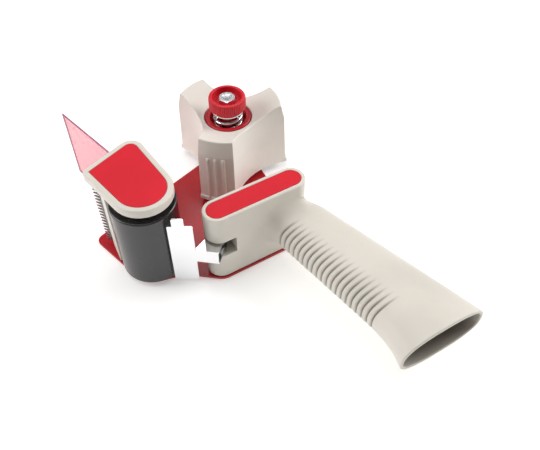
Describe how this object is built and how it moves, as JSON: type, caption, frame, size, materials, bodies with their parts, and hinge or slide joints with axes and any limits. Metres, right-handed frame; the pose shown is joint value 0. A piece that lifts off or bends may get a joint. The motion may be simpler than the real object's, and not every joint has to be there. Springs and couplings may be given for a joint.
{
  "type": "tape dispenser",
  "caption": "Pistol-grip packing tape dispenser with a braked tape hub, a rubber roller, a toothed blade, a wiping flap and a sprung tape retainer.",
  "frame": {"origin": "tape hub axis at the side plate's outer face", "axes": "+X along the handle housing towards its back end, +Y from the handle housing towards the hub, +Z from the plate to the open side"},
  "size_m": [0.1531, 0.2414, 0.0663],
  "materials": {
    "plate_paint": "gloss red enamel on sheet steel",
    "beige_plastic": "satin moulded ABS",
    "red_plastic": "semi-gloss moulded plastic",
    "zinc_steel": "bright zinc plate",
    "chrome_steel": "bright nickel plate",
    "black_rubber": "smooth hard rubber",
    "black_plastic": "moulded nylon",
    "pink_film": "translucent pink film"
  },
  "bodies": {
    "frame": {"side_plate": "plate_paint", "handle": "beige_plastic", "handle_inlay": "red_plastic", "nose_housing": "beige_plastic", "nose_inlay": "red_plastic", "hub_post": "zinc_steel", "roller_axle": "zinc_steel", "roller_bush_lower": "black_plastic", "roller_bush_upper": "black_plastic", "cutting_blade": "zinc_steel", "blade_rivet_1": "zinc_steel", "blade_rivet_2": "zinc_steel", "blade_rivet_3": "zinc_steel", "retainer_pin": "zinc_steel", "retainer_spring": "zinc_steel", "handle_screw_1": "zinc_steel", "handle_screw_2": "zinc_steel", "handle_screw_3": "zinc_steel", "nose_screw_1": "zinc_steel", "nose_screw_2": "zinc_steel"},
    "hub": {"tape_hub": "beige_plastic", "brake_cup": "red_plastic"},
    "washer": {"brake_washer": "zinc_steel", "brake_spring": "zinc_steel"},
    "knob": {"brake_knob": "red_plastic", "brake_bolt": "zinc_steel"},
    "roller": {"roller_sleeve": "black_rubber", "roller_core": "black_plastic"},
    "retainer": {"retainer": "chrome_steel"},
    "flap": {"tape_flap": "pink_film"}
  },
  "joints": [
    {"name": "hub_spin", "type": "hinge", "parent": "frame", "child": "hub", "pos_m": [0, 0, 0.03], "axis": [0, 0, 1], "continuous": true},
    {"name": "roller_spin", "type": "hinge", "parent": "frame", "child": "roller", "pos_m": [-0.0815, -0.0493, 0.03], "axis": [0, 0, 1], "continuous": true},
    {"name": "knob_travel", "type": "slide", "parent": "frame", "child": "washer", "axis": [0, 0, 1], "range_m": [-0.0021, 0.0021], "deforming": ["brake_spring"]},
    {"name": "knob_turn", "type": "hinge", "parent": "washer", "child": "knob", "pos_m": [0, 0, 0.055], "axis": [0, 0, 1], "range_deg": [-720, 720]},
    {"name": "retainer_swing", "type": "hinge", "parent": "frame", "child": "retainer", "pos_m": [-0.0479, -0.0742, 0.027], "axis": [0, 0, 1], "range_deg": [0, 25], "stiffness_Nm_per_rad": 0.05, "springref_deg": -28.65},
    {"name": "flap_flex", "type": "hinge", "parent": "frame", "child": "flap", "pos_m": [-0.08018, -0.01153, 0.03], "axis": [0, 0, 1], "range_deg": [-35, 35], "stiffness_Nm_per_rad": 0.01}
  ],
  "couplings": [
    {"joint": "knob_travel", "follows": "knob_turn", "m_per_rad": 0.00015915}
  ]
}
